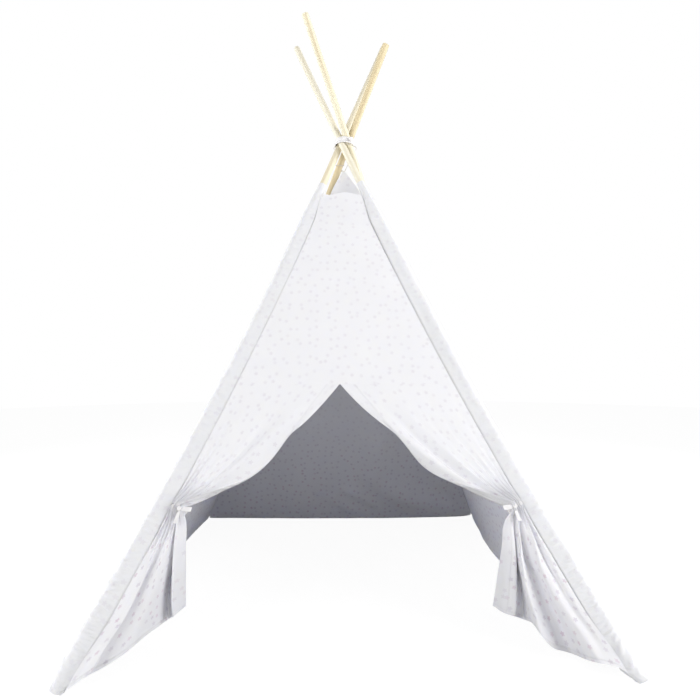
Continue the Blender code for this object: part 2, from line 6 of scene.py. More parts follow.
import bmesh
import bpy
from mathutils import Matrix, Vector, noise
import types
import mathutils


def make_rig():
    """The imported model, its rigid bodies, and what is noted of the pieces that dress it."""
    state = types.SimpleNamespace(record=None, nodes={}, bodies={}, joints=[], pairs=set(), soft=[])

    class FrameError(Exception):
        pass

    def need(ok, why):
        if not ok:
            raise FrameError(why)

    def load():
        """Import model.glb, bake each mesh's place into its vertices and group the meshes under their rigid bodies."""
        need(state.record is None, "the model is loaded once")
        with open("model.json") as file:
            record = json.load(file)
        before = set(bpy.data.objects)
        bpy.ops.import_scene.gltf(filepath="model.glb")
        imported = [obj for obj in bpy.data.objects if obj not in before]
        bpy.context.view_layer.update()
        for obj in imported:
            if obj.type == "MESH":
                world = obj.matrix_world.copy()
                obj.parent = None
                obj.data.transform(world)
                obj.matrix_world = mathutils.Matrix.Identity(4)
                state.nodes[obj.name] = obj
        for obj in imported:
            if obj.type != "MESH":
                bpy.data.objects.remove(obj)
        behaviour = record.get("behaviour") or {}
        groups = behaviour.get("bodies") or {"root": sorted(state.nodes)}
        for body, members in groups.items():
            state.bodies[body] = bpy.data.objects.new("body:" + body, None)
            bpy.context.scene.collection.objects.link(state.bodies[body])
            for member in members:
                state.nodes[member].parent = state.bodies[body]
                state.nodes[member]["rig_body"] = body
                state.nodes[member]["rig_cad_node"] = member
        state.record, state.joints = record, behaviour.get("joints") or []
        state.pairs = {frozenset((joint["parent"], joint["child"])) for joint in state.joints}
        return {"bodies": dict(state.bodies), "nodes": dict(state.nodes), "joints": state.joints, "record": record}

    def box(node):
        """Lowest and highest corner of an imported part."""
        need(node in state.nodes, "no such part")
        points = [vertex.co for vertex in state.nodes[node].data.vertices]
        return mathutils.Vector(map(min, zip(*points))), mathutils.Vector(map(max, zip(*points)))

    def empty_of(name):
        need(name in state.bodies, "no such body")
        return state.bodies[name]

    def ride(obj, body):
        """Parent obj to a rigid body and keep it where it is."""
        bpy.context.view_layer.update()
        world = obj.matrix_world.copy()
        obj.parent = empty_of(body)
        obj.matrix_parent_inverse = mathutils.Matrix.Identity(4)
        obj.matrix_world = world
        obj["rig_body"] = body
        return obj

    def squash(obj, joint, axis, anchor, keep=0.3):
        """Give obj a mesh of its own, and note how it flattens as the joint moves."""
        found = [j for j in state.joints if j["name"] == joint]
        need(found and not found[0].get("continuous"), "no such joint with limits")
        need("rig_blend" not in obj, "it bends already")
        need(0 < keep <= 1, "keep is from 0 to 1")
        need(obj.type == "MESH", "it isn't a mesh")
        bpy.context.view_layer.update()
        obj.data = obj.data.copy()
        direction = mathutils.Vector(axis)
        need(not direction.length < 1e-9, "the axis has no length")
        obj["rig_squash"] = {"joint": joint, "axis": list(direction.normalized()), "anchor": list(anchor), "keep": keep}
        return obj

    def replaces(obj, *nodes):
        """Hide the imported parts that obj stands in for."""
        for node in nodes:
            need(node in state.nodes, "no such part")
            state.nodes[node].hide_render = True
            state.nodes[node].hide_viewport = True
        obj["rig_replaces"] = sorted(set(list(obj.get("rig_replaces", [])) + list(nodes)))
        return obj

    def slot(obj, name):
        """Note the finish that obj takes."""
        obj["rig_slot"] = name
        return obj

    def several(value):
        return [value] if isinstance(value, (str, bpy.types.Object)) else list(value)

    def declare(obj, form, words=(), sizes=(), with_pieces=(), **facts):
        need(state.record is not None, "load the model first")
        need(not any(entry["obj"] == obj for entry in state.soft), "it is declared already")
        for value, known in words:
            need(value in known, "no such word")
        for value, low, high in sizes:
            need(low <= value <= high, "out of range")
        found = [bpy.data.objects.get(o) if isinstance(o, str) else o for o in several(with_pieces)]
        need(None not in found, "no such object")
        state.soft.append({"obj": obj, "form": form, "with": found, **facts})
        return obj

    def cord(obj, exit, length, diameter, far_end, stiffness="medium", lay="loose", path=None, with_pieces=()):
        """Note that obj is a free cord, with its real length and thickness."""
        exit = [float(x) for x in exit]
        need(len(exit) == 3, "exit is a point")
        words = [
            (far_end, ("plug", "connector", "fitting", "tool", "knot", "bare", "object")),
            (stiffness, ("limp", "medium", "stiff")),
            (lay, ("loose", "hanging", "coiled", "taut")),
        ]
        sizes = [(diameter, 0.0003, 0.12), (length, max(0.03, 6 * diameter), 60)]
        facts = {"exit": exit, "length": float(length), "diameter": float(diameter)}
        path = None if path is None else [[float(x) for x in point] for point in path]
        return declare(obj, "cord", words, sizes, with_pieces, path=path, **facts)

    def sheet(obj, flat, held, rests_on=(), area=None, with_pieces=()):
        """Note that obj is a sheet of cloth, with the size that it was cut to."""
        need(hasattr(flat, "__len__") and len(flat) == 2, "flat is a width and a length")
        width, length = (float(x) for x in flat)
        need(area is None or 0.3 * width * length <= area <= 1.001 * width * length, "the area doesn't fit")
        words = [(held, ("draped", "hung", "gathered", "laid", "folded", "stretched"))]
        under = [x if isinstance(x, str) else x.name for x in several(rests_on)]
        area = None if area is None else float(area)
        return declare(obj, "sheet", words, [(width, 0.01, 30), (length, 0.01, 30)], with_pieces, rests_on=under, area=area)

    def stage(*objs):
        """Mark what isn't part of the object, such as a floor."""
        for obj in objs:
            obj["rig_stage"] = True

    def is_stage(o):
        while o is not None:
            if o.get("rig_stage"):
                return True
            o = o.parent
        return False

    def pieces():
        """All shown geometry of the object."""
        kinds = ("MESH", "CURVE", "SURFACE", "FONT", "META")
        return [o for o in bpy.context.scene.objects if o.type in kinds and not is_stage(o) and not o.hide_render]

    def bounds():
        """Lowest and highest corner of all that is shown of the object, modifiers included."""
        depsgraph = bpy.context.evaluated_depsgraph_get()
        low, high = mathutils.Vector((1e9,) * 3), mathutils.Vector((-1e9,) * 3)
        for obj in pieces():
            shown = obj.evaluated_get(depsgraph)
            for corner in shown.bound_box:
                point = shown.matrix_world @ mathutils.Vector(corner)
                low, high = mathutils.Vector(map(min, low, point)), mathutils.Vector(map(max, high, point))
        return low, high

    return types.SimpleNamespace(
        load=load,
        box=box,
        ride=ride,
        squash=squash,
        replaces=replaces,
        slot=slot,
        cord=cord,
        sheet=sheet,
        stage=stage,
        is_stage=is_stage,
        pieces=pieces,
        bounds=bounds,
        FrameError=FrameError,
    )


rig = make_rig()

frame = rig.load()
cad_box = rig.bounds()

UP = Vector((0, 0, 1))
corners = ("front_left", "front_right", "back_right", "back_left")


def each_corner(*values):
    return dict(zip(corners, values))


def square_to(axis, vector):
    """The part of a vector that is square to an axis."""
    return vector - axis * vector.dot(axis)


# Poles, placed as the solids are
half_diagonal = 0.600 * sqrt(2)
foot_height = 0.0081
crossing_height = 1.4255
pole_radius = 0.011
pole_bow = each_corner(0.0284, 0.0284, 0, 0)
reach_above_crossing = each_corner(0.521, 0.476, 0.391, 0.326)
section_drop = 0.632
section_gap = 0.0006
rod_grid = (28, 240)
rod_unevenness = 0.00018
end_rounding, end_run = 0.0016, 0.004
any_height = 9

# Sleeves
sleeve_grid = (40, 640)
sleeve_top_drop = 0.186
sleeve_radius = 0.020
sleeve_mouth_radius = 0.0133
sleeve_taper_length = 0.220
slimmest_sleeve = 0.0122
mouth_run = 0.020
tube_inset = 0.0010
inner_share = 0.4
loose_depth, loose_start, loose_run = 0.005, 0.28, 0.75
foot_tuck = 0.005
foot_taper, foot_run = 0.0050, 0.030
toe_length = each_corner(0, 0.013, 0.004, 0.004)
toe_start, toe_run = 0.020, 0.028
floor_gap = 0.0012

# Seams between sleeves and walls
seam_degrees = each_corner(25, 25, -42, -42)
seam_tail = {"front": 0.013, "back": 0.001}
seam_gap = 0.0002
seam_end, seam_end_run = 0.006, 0.010
pucker_depth, pucker_start, pucker_reach = 0.0012, 0.006, 0.030

# Walls and front panel
cloth_thickness = 0.0006
slope_share = 0.933
gathered_share = 0.264
middle_drop = 1.0
wall_top_drop = 0.232
wall_tip_drop = 0.094
wall_tip_shift = 0.0105
wall_tip_width = 0.010
tip_fullness = 0.018
wall_sag = 0.014
wall_lump, wall_ripple = 0.0045, 0.0016
wall_hem_lift = 0.012
wall_hem_bow = {"right_wall": 0.066, "back_wall": 0.034, "left_wall": -0.010}
hem_wave, hem_dip = 0.0022, 0.006
lowest_hem = 0.0015
panel_lump = 0.0016
panel_arch, panel_rise = 0.010, 0.008

# Door
door_peak_height = 0.623
door_peak_shift = -0.015
door_split_gap = 0.003
tie_back_height = 0.345
bundle_width = 0.050
bundle_depth = 0.012
bundle_run = 0.020
bundle_gap = 0.0030
ribbon_width = 0.012
ribbon_thickness = 0.0008
loop_slack = (0.0006, 0.0022)
tie_knot_size = (0.013, 0.012, 0.008)
tail_length, tail_width, tail_waist, tail_thickness = 0.034, 0.0101, 0.004, 0.0007

# Lashing
band_height, band_inset, band_thickness = 0.0195, 0.0016, 0.0010
band_knot_size = (0.010, 0.019, 0.015)
touch_gap = 0.0003
string_radius, string_girth = 0.0011, 0.006
string_step = 0.0012
string_start_reach, string_start_drop = 0.0317, 0.0113
wrap_drop = 0.058
wrap_length = 0.030
wrap_turns, wrap_steps = 1.4, 120
wrap_start_degrees = 100
tip_tie_bend = 0.006
tip_tie_drop = 0.056
string_end_degrees = {"left": 199, "right": -80}
string_end_run = {
    "left": [(0, 0, -0.003), (-0.005, -0.002, -0.010), (-0.0045, -0.003, -0.016)],
    "right": [
        (0, 0, -0.0025),
        (0.006, -0.001, -0.006),
        (0.022, -0.003, -0.012),
        (0.033, -0.004, -0.0185),
        (0.032, -0.005, -0.028),
    ],
}


class Pole:
    """The centre line of one pole: drop is the distance below the crossing along the pole."""

    def __init__(self, corner, joint):
        self.corner = corner
        self.body = joint["child"]
        self.joint = joint["name"]
        self.crossing = Vector(joint["pos_m"])
        self.side = Vector(joint["axis"])
        self.out = Vector((self.side.y, -self.side.x, 0))
        offset = (self.crossing - UP * self.crossing.z).length
        foot = self.out * sqrt(half_diagonal**2 - offset**2) - self.side * offset
        foot += UP * foot_height
        self.span = (foot - self.crossing).length
        self.down = (foot - self.crossing).normalized()
        self.inward = (self.down * self.out.dot(self.down) - self.out).normalized()
        self.bow = pole_bow[corner]
        self.top = -reach_above_crossing[corner]

    def tangent(self, drop):
        slope = self.bow * pi / self.span * cos(pi * max(drop, 0) / self.span)
        return (self.down + self.inward * slope).normalized()

    def point(self, drop):
        if drop < 0:
            return self.crossing + self.tangent(0) * drop
        bulge = self.bow * sin(pi * drop / self.span)
        return self.crossing + self.down * drop + self.inward * bulge

    def around(self, drop, angle, radius):
        across = self.side.cross(self.tangent(drop))
        return self.point(drop) + (self.side * cos(angle) + across * sin(angle)) * radius

    def drop_at(self, height):
        low, high = self.top, self.span
        for _ in range(40):
            middle = (low + high) / 2
            if self.point(middle).z > height:
                low = middle
            else:
                high = middle
        return (low + high) / 2


neighbours = {corner: (corners[i - 1], corners[(i + 1) % 4]) for i, corner in enumerate(corners)}
joints = {joint["name"]: joint for joint in frame["joints"]}
poles = {corner: Pole(corner, joints["fold_" + corner]) for corner in corners}


def smooth_share(share):
    share = min(max(share, 0), 1)
    return share * share * (3 - 2 * share)


def curve(a, b, c, d, t):
    """The smooth curve from b at t = 0 to c at t = 1, with a before them and d after them."""
    squared, cubed = 2 * a - 5 * b + 4 * c - d, 3 * b - a - 3 * c + d
    return b + ((c - a) * t + squared * t**2 + cubed * t**3) / 2


def between(values, share):
    """A smooth curve through evenly spaced values, read at a share of its length."""
    run = share * (len(values) - 1)
    i = min(int(run), len(values) - 2)
    t = run - i
    b, c = values[i], values[i + 1]
    a = values[i - 1] if i else 2 * b - c
    d = values[i + 2] if i + 2 < len(values) else 2 * c - b
    return curve(a, b, c, d, t)


def rough(x, y, seed, octaves=3):
    """Soft repeatable unevenness, about -1 to 1."""
    return noise.fractal(Vector((x, y, seed)), 1.0, 2.0, octaves)


# Materials


class Nodes:
    """The node tree of a material or world under construction, made and wired by name."""

    def __init__(self, made):
        self.made = made
        made.use_nodes = True
        self.tree = made.node_tree

    def node(self, kind, settings={}, **inputs):
        made = self.tree.nodes.new("ShaderNode" + kind)
        for key, value in settings.items():
            setattr(made, key, value)
        for key, value in inputs.items():
            self.put(made, key, value)
        return made

    def put(self, node, key, value):
        numbered = key[0] == "i" and key[1:].isdigit()
        socket = node.inputs[int(key[1:]) if numbered else key]
        if isinstance(value, bpy.types.NodeSocket):
            self.tree.links.new(value, socket)
        else:
            socket.default_value = value

    def math(self, operation, first, second=0.0):
        return self.node("Math", {"operation": operation}, i0=first, i1=second).outputs[0]

    def product(self, first, second):
        return self.math("MULTIPLY", first, second)

    def inverse(self, value):
        return self.math("SUBTRACT", 1.0, value)

    def lessened(self, value, by, share):
        """The value, brought down by a share where by is 1."""
        return self.product(value, self.inverse(self.product(by, share)))

    def vector(self, operation, **inputs):
        return self.node("VectorMath", {"operation": operation}, **inputs).outputs

    def parts(self, vector):
        return self.node("SeparateXYZ", Vector=vector).outputs

    def noise(self, vector, scale, detail, dimensions="2D"):
        settings = {"noise_dimensions": dimensions}
        return self.node("TexNoise", settings, Vector=vector, Scale=scale, Detail=detail).outputs[0]

    def seen_direct(self):
        """1 for the rays that come from the camera or off something shiny."""
        rays = self.node("LightPath").outputs
        return self.math("MAXIMUM", rays["Is Camera Ray"], rays["Is Glossy Ray"])


class Finish(Nodes):
    """A material, with what its textures need."""

    def __init__(self, name):
        super().__init__(bpy.data.materials.new(name))
        self.shader = self.tree.nodes["Principled BSDF"]

    def levels(self, inputs):
        for key, value in inputs.items():
            self.put(self.shader, key, value)

    def blend(self, share, first, second):
        return self.node("Mix", {"data_type": "RGBA"}, i0=share, i6=first, i7=second).outputs[2]

    def ramp(self, value, low, high):
        span = {"Value": value, "From Min": low, "From Max": high}
        return self.node("MapRange", {"interpolation_type": "SMOOTHSTEP"}, **span).outputs[0]

    def bump(self, height, distance, strength=1.0, normal=None):
        made = self.node("Bump", Height=height, Distance=distance, Strength=strength)
        if normal:
            self.put(made, "Normal", normal)
        return made.outputs[0]

    def uv(self, name):
        return self.node("UVMap", {"uv_map": name}).outputs[0]

    def scaled(self, vector, x, y, z=1.0):
        return self.node("Mapping", Vector=vector, Scale=(x, y, z)).outputs[0]


def cotton_finish(name, base, wrinkle=0.0012):
    """Plain-woven cotton with a scattered print of tiny stars, doubled at its hems and facings."""
    f = Finish(name)
    flat = f.uv("flat")
    per_cell = 1 / print_spacing
    settings = {"voronoi_dimensions": "2D", "feature": "F1"}
    cell = f.node("TexVoronoi", settings, Vector=flat, Scale=per_cell, Randomness=0.8)
    place = f.scaled(flat, per_cell, per_cell, 0.0)
    middle = f.scaled(cell.outputs["Position"], per_cell, per_cell, 0.0)
    away = f.vector("SUBTRACT", i0=place, i1=middle)[0]
    away_x, away_y = f.parts(away)[:2]
    chance = f.node("SeparateColor", Color=cell.outputs["Color"]).outputs
    turn = f.product(chance[1], full_turn)
    turned = f.math("ADD", f.product(f.math("ARCTAN2", away_y, away_x), star_points), turn)
    point = f.product(f.math("COSINE", turned), star_point)
    reach = f.math("ADD", point, star_radius)
    outline = f.math("SUBTRACT", f.vector("LENGTH", i0=away)["Value"], reach)
    star = f.inverse(f.ramp(outline, *star_blur))
    fade = f.product(star, f.math("ADD", f.product(chance[2], star_strength[1]), star_strength[0]))

    to_edge, to_hem = f.parts(f.uv("trim"))[:2]
    facing = f.inverse(f.ramp(to_edge, facing_width - fold_blur, facing_width + fold_blur))
    hem = f.inverse(f.ramp(to_hem, hem_width - fold_blur, hem_width + fold_blur))
    doubled = f.math("MAXIMUM", facing, hem)
    fade = f.lessened(fade, facing, 0.45)
    # Painted highlight: higher above the hem the print fades and turns grey, standing in for the brighter light on the
    # upper cloth.
    painted_glare = f.ramp(to_hem, *painted_glare_heights)
    fade = f.lessened(fade, painted_glare, 0.5)
    greyer = f.math("MAXIMUM", f.ramp(chance[0], 0.35, 0.45), painted_glare)
    dye = f.blend(greyer, pink_dye, grey_dye)

    deeper = (base[0] * 0.965, base[1] * 0.965, base[2] * 0.972, 1)
    ground = f.blend(f.noise(flat, 9.0, 3.0), base, deeper)
    thread = f.noise(f.scaled(flat, 900, 90), 5.0, 1.0)
    slub = f.math("ADD", f.product(thread, 0.06), 0.97)
    # The hems and facings are really doubled; their slightly darker tone is painted shade, for the lesser light that
    # comes through two layers.
    shade = f.lessened(slub, doubled, 0.015)

    along_x, along_y = f.parts(flat)[:2]
    stitches = []
    for distance, width, run in ((to_edge, facing_width, along_y), (to_hem, hem_width, along_x)):
        off = f.math("ABSOLUTE", f.math("SUBTRACT", distance, width - stitch_inset))
        line = f.inverse(f.ramp(off, *stitch_reach))
        dash = f.ramp(f.math("SINE", f.product(run, tau / stitch_length)), -0.5, 0.1)
        stitches.append(f.product(line, dash))
    stitch = f.math("MAXIMUM", *stitches)
    shade = f.lessened(shade, stitch, 0.12)
    f.put(f.shader, "Base Color", f.vector("SCALE", i0=f.blend(fade, ground, dye), Scale=shade)[0])
    f.levels({"Roughness": 0.88, "Specular IOR Level": 0.25})
    f.levels({"Sheen Weight": 0.12, "Sheen Roughness": 0.5})
    f.levels({"Subsurface Weight": 0.45, "Subsurface Scale": 0.0012})
    f.levels({"Subsurface Radius": (0.9, 0.95, 1.2)})

    warp, weft = (
        f.node("TexWave", {"wave_type": "BANDS", "bands_direction": axis}, Vector=flat, Scale=320.0)
        for axis in "XY"
    )
    weave = f.product(warp.outputs["Fac"], weft.outputs["Fac"])
    soft = f.bump(f.noise(flat, 22.0, 4.0), wrinkle, 0.6)
    layers = f.bump(f.math("SUBTRACT", doubled, stitch), 0.0006, 1.0, soft)
    f.put(f.shader, "Normal", f.bump(weave, 0.00012, 0.5, layers))
    return f.made


def tape_finish(name, colour):
    """Narrow woven cotton tape, ribbed across its width."""
    f = Finish(name)
    place = f.node("TexCoord").outputs["Object"]
    darker = (colour[0] * 0.86, colour[1] * 0.85, colour[2] * 0.84, 1)
    f.put(f.shader, "Base Color", f.blend(f.noise(place, 60.0, 2.0, "3D"), colour, darker))
    f.levels({"Roughness": 0.9})
    f.put(f.shader, "Normal", f.bump(f.noise(place, 1400.0, 2.0, "3D"), 0.0003, 0.7))
    return f.made


def wood_finish(name, pale, deep, tone):
    """Planed softwood: long straight grain, a few darker streaks, a slight gloss."""
    f = Finish(name)
    flat = f.uv("flat")
    grain = f.noise(f.scaled(flat, 130, 3), 1.0, 2.0)
    streak = f.noise(f.scaled(flat, 45, 1.6), 1.0, 2.0)
    wide = f.noise(f.scaled(flat, 12, 3.2), 1.0, 1.0)
    body = f.blend(f.ramp(grain, 0.35, 0.75), pale, deep)
    aged = f.blend(f.ramp(streak, 0.55, 0.78), body, tone)
    f.put(f.shader, "Base Color", f.blend(f.ramp(wide, 0.5, 0.8), aged, deep))
    f.levels({"Roughness": 0.5})
    f.put(f.shader, "Normal", f.bump(streak, 0.0002, 0.4))
    return f.made


def steel_finish(name):
    """Drawn steel tube with fine lines round it."""
    f = Finish(name)
    place = f.node("TexCoord").outputs["Object"]
    drawn = f.noise(place, 700.0, 2.0, "3D")
    f.put(f.shader, "Base Color", f.blend(drawn, (0.55, 0.56, 0.58, 1), (0.7, 0.71, 0.73, 1)))
    f.levels({"Metallic": 1.0, "Roughness": 0.38})
    return f.made


# The print: its spacing is in metres, and the star's sizes are shares of the spacing
full_turn = 6.28
print_spacing = 0.028
star_points = 5.0
star_radius = 0.160
star_point = 0.045
star_blur = (-0.015, 0.03)
star_strength = (0.5, 0.4)
# Heights above the hem over which the painted highlight washes the print out
painted_glare_heights = (0.22, 0.50)
pink_dye, grey_dye = (0.69, 0.60, 0.68, 1), (0.68, 0.65, 0.72, 1)

# Hems and facings
facing_width = 0.036
hem_width = 0.010
fold_blur = 0.0004
stitch_inset = 0.002
stitch_reach = (0.0003, 0.0008)
stitch_length = 0.003

cotton = cotton_finish("printed_cotton", (0.85, 0.85, 0.89, 1))
# Painted shade: the sleeves are the same cotton as the walls, made darker to stand in for the grey shade in their
# gathers.
sleeve_cotton = cotton_finish("sleeve_cotton", (0.80, 0.805, 0.84, 1), 0.002)
tape = tape_finish("cotton_tape", (0.85, 0.84, 0.85, 1))
string = tape_finish("cotton_string", (0.70, 0.66, 0.60, 1))
pine = each_corner(
    wood_finish("pine_cream", (0.80, 0.74, 0.58, 1), (0.74, 0.66, 0.48, 1), (0.66, 0.56, 0.38, 1)),
    wood_finish("pine_pale", (0.84, 0.80, 0.67, 1), (0.79, 0.73, 0.57, 1), (0.71, 0.62, 0.45, 1)),
    wood_finish("pine_straw", (0.80, 0.75, 0.58, 1), (0.74, 0.67, 0.49, 1), (0.64, 0.55, 0.37, 1)),
    # back_left: a golden pine, partly painted shade, made darker for the shade this pole stands in under the crossing.
    wood_finish("pine_gold", (0.69, 0.59, 0.38, 1), (0.61, 0.50, 0.30, 1), (0.49, 0.38, 0.21, 1)),
)
steel = steel_finish("drawn_steel")


# Making pieces


def route_length(points):
    return sum((b - a).length for a, b in zip(points, points[1:]))


def far_from_edges(u, v):
    return 1, 1


def grid(columns, rows, place, flat, trim=far_from_edges):
    """An even grid whose corner (u, v) goes to place(u, v). Its UV maps hold the flat pattern and
    the distances to its free side edge and to its hem, in metres of flat cloth."""
    bm = bmesh.new()
    bmesh.ops.create_grid(bm, x_segments=columns, y_segments=rows, size=0.5)
    layer = bm.loops.layers.uv.new("flat")
    margin = bm.loops.layers.uv.new("trim")
    for face in bm.faces:
        for loop in face.loops:
            u, v = loop.vert.co.x + 0.5, loop.vert.co.y + 0.5
            loop[layer].uv = flat(u, v)
            loop[margin].uv = trim(u, v)
    for corner in bm.verts:
        corner.co = place(corner.co.x + 0.5, corner.co.y + 0.5)
    for edge in bm.edges:
        edge.smooth = not edge.is_boundary
    return bm


def tube(sides, rows, place, flat, capped_below=0):
    """A grid closed round into a tube; the ends that lie lower than capped_below get a face."""
    bm = grid(sides, rows, place, flat)
    bmesh.ops.remove_doubles(bm, verts=bm.verts, dist=0.00001)
    for edge in bm.edges:
        edge.smooth = not edge.is_boundary
    open_edges = [e for e in bm.edges if e.is_boundary and e.verts[0].co.z < capped_below]
    if open_edges:
        bmesh.ops.holes_fill(bm, edges=open_edges)
    bmesh.ops.recalc_face_normals(bm, faces=bm.faces)
    return bm


def piece_of(name, bm, finish, slot, smooth_degrees=180):
    """Turns a bmesh into a finished object at the origin."""
    mesh = bpy.data.meshes.new(name)
    bm.to_mesh(mesh)
    bm.free()
    mesh.materials.append(finish)
    mesh.shade_smooth()
    if smooth_degrees < 180:
        mesh.set_sharp_from_angle(angle=radians(smooth_degrees))
    made = bpy.data.objects.new(name, mesh)
    bpy.context.scene.collection.objects.link(made)
    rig.slot(made, slot)
    return made


def thicken(piece, thickness, offset=0):
    thick = piece.modifiers.new("Thickness", "SOLIDIFY")
    thick.thickness = thickness
    thick.offset = offset


def face_towards(bm, outward):
    """Turns the faces of an open sheet so that they look outward."""
    bm.normal_update()
    if sum(face.normal.dot(outward) * face.calc_area() for face in bm.faces) < 0:
        bmesh.ops.reverse_faces(bm, faces=bm.faces)


def cloth(name, columns, rows, place, flat, trim, outward):
    bm = grid(columns, rows, place, flat, trim)
    face_towards(bm, outward)
    piece = piece_of(name, bm, cotton, "white_cotton")
    thicken(piece, cloth_thickness)
    return piece


def flat_facts(piece):
    """The flat size and area of a cloth, read from its flat pattern."""
    layer = piece.data.uv_layers["flat"].data
    xs = [loop.uv.x for loop in layer]
    ys = [loop.uv.y for loop in layer]
    area = 0
    for face in piece.data.polygons:
        loops = [layer[i].uv for i in face.loop_indices]
        for a, b in zip(loops, loops[1:] + loops[:1]):
            area += (a.x * b.y - b.x * a.y) / 2
    size = (max(xs) - min(xs), max(ys) - min(ys))
    return size, min(abs(area), size[0] * size[1])


def declare_cloth(piece, held, rests_on):
    size, area = flat_facts(piece)
    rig.sheet(piece, flat=size, held=held, rests_on=rests_on, area=area)


# Poles


def rod(corner):
    """The upper section of one pole, planed round, with softened ends."""
    pole = poles[corner]
    low, high = pole.top, section_drop - section_gap

    def place(u, v):
        drop = low + (high - low) * v
        edge = min(drop - low, high - drop)
        radius = pole_radius - end_rounding * max(0, 1 - edge / end_run) ** 2
        radius += rod_unevenness * rough(drop * 14, 0, len(corner))
        return pole.around(drop, tau * u, radius)

    def flat(u, v):
        return u * tau * pole_radius, low + (high - low) * v

    bm = tube(*rod_grid, place, flat, any_height)
    piece = piece_of(corner + "_rod", bm, pine[corner], "pine_pole", 40)
    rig.replaces(piece, corner + "_pole_upper")
    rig.ride(piece, pole.body)


# Sleeves


def sleeve_radius_at(drop):
    share = min(max((drop - sleeve_top_drop) / sleeve_taper_length, 0), 1)
    return sleeve_mouth_radius + (sleeve_radius - sleeve_mouth_radius) * sin(share * pi / 2)


def seam_reach(corner, drop):
    """How far from the pole's middle a wall leaves the sleeve that it is stitched to."""
    tail = smooth_share((drop - wall_top_drop) / 0.12) * (1 - smooth_share((drop - 1.50) / 0.12))
    return sleeve_radius_at(drop) + seam_tail[corner.split("_")[0]] * tail + seam_gap


def ruching(corner, drop, angle):
    """How far the loose sleeve stands out or in: slanting gathers, tighter towards the foot."""
    seed = corners.index(corner) * 7.3
    tight = smooth_share((drop - 1.25) / 0.35)
    slack = 0.55 + 0.45 * smooth_share((drop - 0.25) / 0.8)
    slant = 0.011 * sin(angle + seed) + 0.012 * rough(drop * 6, cos(angle) * 0.8, seed, 2)
    run = (drop + slant) / (0.015 - 0.004 * tight)
    puff = abs(rough(run, sin(angle) * 0.9, seed + 1, 1) * 1.3) - 0.24
    wide = rough(drop * 9, cos(angle), seed + 5, 2)
    return (0.0026 * puff * (1 + 0.7 * tight) + 0.0012 * wide) * slack


def sleeve(corner):
    """The wrinkled cloth tube of one pole, with its closed foot on the floor."""
    pole = poles[corner]
    length = pole.span + foot_tuck - sleeve_top_drop
    across = pole.side.cross(pole.tangent(middle_drop))
    seams = []
    for other in neighbours[corner]:
        seam = Wall(corner, other).seam(pole, poles[other], middle_drop)
        toward = seam - pole.point(middle_drop)
        seams.append(atan2(toward.dot(across), toward.dot(pole.side)) % tau)
    first, second = sorted(seams)
    if second - first > pi:
        first, second = second, first + tau

    def place(u, v):
        drop = sleeve_top_drop + length * v
        inner = first + (second - first) * u / inner_share
        outer = second + (first + tau - second) * (u - inner_share) / (1 - inner_share)
        angle = inner if u < inner_share else outer
        free = min(1, (drop - sleeve_top_drop) / mouth_run)
        tube_radius = sleeve_radius_at(drop) - tube_inset
        tube_radius -= foot_taper * smooth_share((drop - pole.span + foot_run) / foot_run)
        hem_share = smooth_share((pole.span - seam_end - drop) / seam_end_run)
        reach = tube_radius + (seam_reach(corner, drop) - tube_radius) * hem_share
        spread = acos(min(1, tube_radius / max(reach, tube_radius)))
        radius = tube_radius
        for seam in (first, second):
            off = abs((angle - seam + pi) % tau - pi)
            radius = max(radius, tube_radius / cos(max(0, spread - off)))
            free *= 0.10 + 0.90 * min(1, off / 0.30)
        if corner == "front_right":
            loose = max(0, sin(pi * min(max((drop - loose_start) / loose_run, 0), 1)))
            radius += loose_depth * loose * max(0, cos(angle - (first + second) / 2 - pi))
        radius = max(slimmest_sleeve, radius + ruching(corner, drop, angle) * free)
        point = pole.around(drop, angle, radius)
        toe = smooth_share((drop - pole.span + toe_start) / toe_run)
        point += pole.out * toe * toe_length[corner]
        if point.z < floor_gap:
            axis = pole.tangent(drop)
            point -= axis * ((point.z - floor_gap) / axis.z)
        return point

    def flat(u, v):
        return u * tau * sleeve_radius, -v * length

    bm = tube(*sleeve_grid, place, flat, 0.1)
    piece = piece_of(corner + "_sleeve_cloth", bm, sleeve_cotton, "white_cotton")
    thicken(piece, cloth_thickness, -1)
    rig.replaces(piece, corner + "_sleeve")
    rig.ride(piece, pole.body)
    declare_cloth(piece, "hung", [corner + "_rod"])


# Walls


class Wall:
    """The cloth plane between two neighbouring poles, named as seen from outside."""

    def __init__(self, left, right):
        self.left, self.right = poles[left], poles[right]

    def seam(self, pole, other, drop):
        """Where the wall leaves the sleeve: in front of the front poles, inside the back ones."""
        axis = pole.tangent(drop)
        across = square_to(axis, other.point(drop) - pole.point(drop)).normalized()
        outward = axis.cross(across)
        if outward.dot(pole.out) < 0:
            outward = -outward
        angle = radians(seam_degrees[pole.corner])
        distance = seam_reach(pole.corner, drop)
        return pole.point(drop) + (across * cos(angle) + outward * sin(angle)) * distance

    def edge(self, left_side, drop):
        near, far = (self.left, self.right) if left_side else (self.right, self.left)
        return self.seam(near, far, drop)

    def across(self, drop):
        return self.edge(False, drop) - self.edge(True, drop)

    def normal(self, drop):
        """Points out of the tent."""
        along = (self.left.tangent(drop) + self.right.tangent(drop)).normalized()
        return along.cross(self.across(drop)).normalized()

    def width(self, drop):
        return self.across(drop).length

    def place(self, u, drop, sag=0):
        point = self.edge(True, drop).lerp(self.edge(False, drop), u)
        return point - self.normal(drop) * sag * sin(pi * u)

    def flat(self, u, drop):
        return (u - 0.5) * self.width(drop), -drop * slope_share


def fold_with(piece, wall, pole):
    """The piece goes with its pole, and its cloth gathers beside it when the frame closes."""
    other = wall.right if pole is wall.left else wall.left
    middle = pole.span / 2
    near = wall.edge(pole is wall.left, middle)
    across = square_to(pole.tangent(middle), other.point(middle) - pole.point(middle))
    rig.ride(piece, pole.body)
    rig.squash(piece, pole.joint, axis=across, anchor=near, keep=gathered_share)


